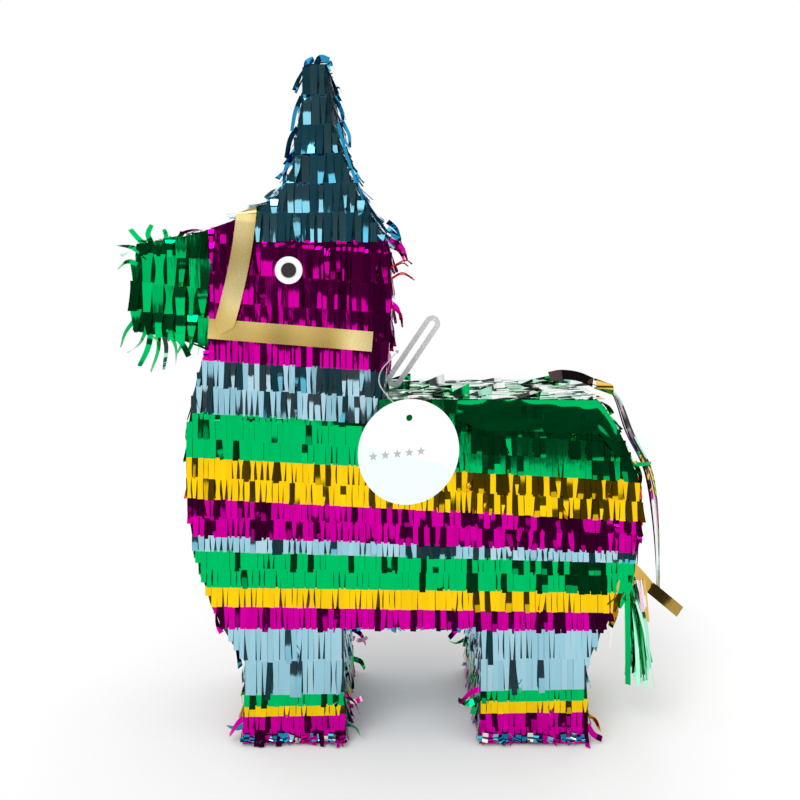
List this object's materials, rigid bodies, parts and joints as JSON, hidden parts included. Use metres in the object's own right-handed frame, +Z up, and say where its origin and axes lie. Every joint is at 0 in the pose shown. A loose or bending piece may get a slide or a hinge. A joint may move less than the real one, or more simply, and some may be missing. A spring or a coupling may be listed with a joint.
{
  "type": "pinata",
  "caption": "Free-standing donkey pinata: hollow cardboard carcass under rows of metallic foil fringe, with a filler flap, hanging loop, tag and tail.",
  "frame": {"origin": "centre of the bounding box on the floor, between the soles", "axes": "+X from the head to the tail, +Y from the near side (the side that carries the tag) to the far side, +Z up"},
  "size_m": [0.4445, 0.1535, 0.5465],
  "materials": {
    "corrugated_cardboard": "matte",
    "foil_green": "gloss",
    "foil_yellow": "gloss",
    "foil_magenta": "gloss",
    "foil_light_blue": "gloss",
    "foil_teal": "gloss",
    "gold_ribbon": "satin",
    "white_card": "matte",
    "dark_card": "satin",
    "clear_plastic": "gloss",
    "wood_dowel": "matte",
    "tag_card": "satin",
    "clear_string": "gloss"
  },
  "bodies": {
    "carcass": {"back_edge_fringe": "foil_green", "back_strip": "corrugated_cardboard", "belly_edge_fringe": "foil_light_blue", "belly_strip": "corrugated_cardboard", "chest_edge_fringe": "foil_light_blue", "chest_strip": "corrugated_cardboard", "chin_strip": "corrugated_cardboard", "crown_ribbon": "gold_ribbon", "ear_back_strip": "corrugated_cardboard", "ear_edge_fringe": "foil_teal", "ear_fringe_teal": "foil_teal", "ear_front_strip": "corrugated_cardboard", "far_eye_pupil": "dark_card", "far_eye_white": "white_card", "far_noseband": "gold_ribbon", "far_side_board": "corrugated_cardboard", "forehead_edge_fringe": "foil_magenta", "forehead_strip": "corrugated_cardboard", "front_leg_front_strip": "corrugated_cardboard", "front_leg_inner_strip": "corrugated_cardboard", "front_sole_plate": "corrugated_cardboard", "head_fringe_magenta": "foil_magenta", "leg_fringe_blue": "foil_light_blue", "leg_fringe_green": "foil_green", "leg_fringe_magenta": "foil_magenta", "leg_fringe_yellow": "foil_yellow", "loop_cross_bar": "wood_dowel", "loop_stem": "clear_plastic", "nape_edge_fringe": "foil_magenta", "nape_strip": "corrugated_cardboard", "near_eye_pupil": "dark_card", "near_eye_white": "white_card", "near_noseband": "gold_ribbon", "near_side_board": "corrugated_cardboard", "neck_fringe_blue": "foil_light_blue", "rear_leg_back_strip": "corrugated_cardboard", "rear_leg_inner_strip": "corrugated_cardboard", "rear_sole_plate": "corrugated_cardboard", "rump_edge_fringe": "foil_green", "rump_strip": "corrugated_cardboard", "snout_edge_fringe": "foil_green", "snout_fringe_green": "foil_green", "snout_front_strip": "corrugated_cardboard", "trunk_fringe_blue": "foil_light_blue", "trunk_fringe_green_lower": "foil_green", "trunk_fringe_green_upper": "foil_green", "trunk_fringe_magenta_lower": "foil_magenta", "trunk_fringe_magenta_upper": "foil_magenta", "trunk_fringe_yellow_lower": "foil_yellow", "trunk_fringe_yellow_upper": "foil_yellow"},
    "filler_flap": {"filler_flap": "corrugated_cardboard", "flap_fringe": "foil_green"},
    "hanging_loop": {"hanging_loop": "clear_plastic"},
    "string_knot": {"string_knot": "clear_string"},
    "hang_tag": {"hang_tag": "tag_card", "tag_string": "clear_string"},
    "tail": {"tail_strips": "foil_green", "tail_fold": "gold_ribbon"},
    "tassel": {"tail_tassel": "foil_green"}
  },
  "joints": [
    {"name": "flap_hinge", "type": "hinge", "parent": "carcass", "child": "filler_flap", "pos_m": [0.1253, 0, 0.2775], "axis": [0, 1, 0], "range_deg": [0, 110]},
    {"name": "loop_lean", "type": "hinge", "parent": "carcass", "child": "hanging_loop", "pos_m": [-0.008, 0, 0.2849], "axis": [0, 1, 0], "range_deg": [-24, 42]},
    {"name": "tag_swing", "type": "hinge", "parent": "carcass", "child": "string_knot", "pos_m": [-0.0067, -0.0658, 0.315], "axis": [0, 1, 0], "range_deg": [-30, 30]},
    {"name": "tag_lift", "type": "hinge", "parent": "string_knot", "child": "hang_tag", "pos_m": [-0.0067, -0.0658, 0.315], "axis": [-1, 0, 0], "range_deg": [0, 80]},
    {"name": "tail_lift", "type": "hinge", "parent": "carcass", "child": "tail", "pos_m": [0.162, -0.015, 0.282], "axis": [0, -1, 0], "range_deg": [0, 55]},
    {"name": "tassel_swing", "type": "hinge", "parent": "carcass", "child": "tassel", "pos_m": [0.18533, -0.045, 0.124], "axis": [0, 1, 0], "range_deg": [-40, 10]}
  ]
}
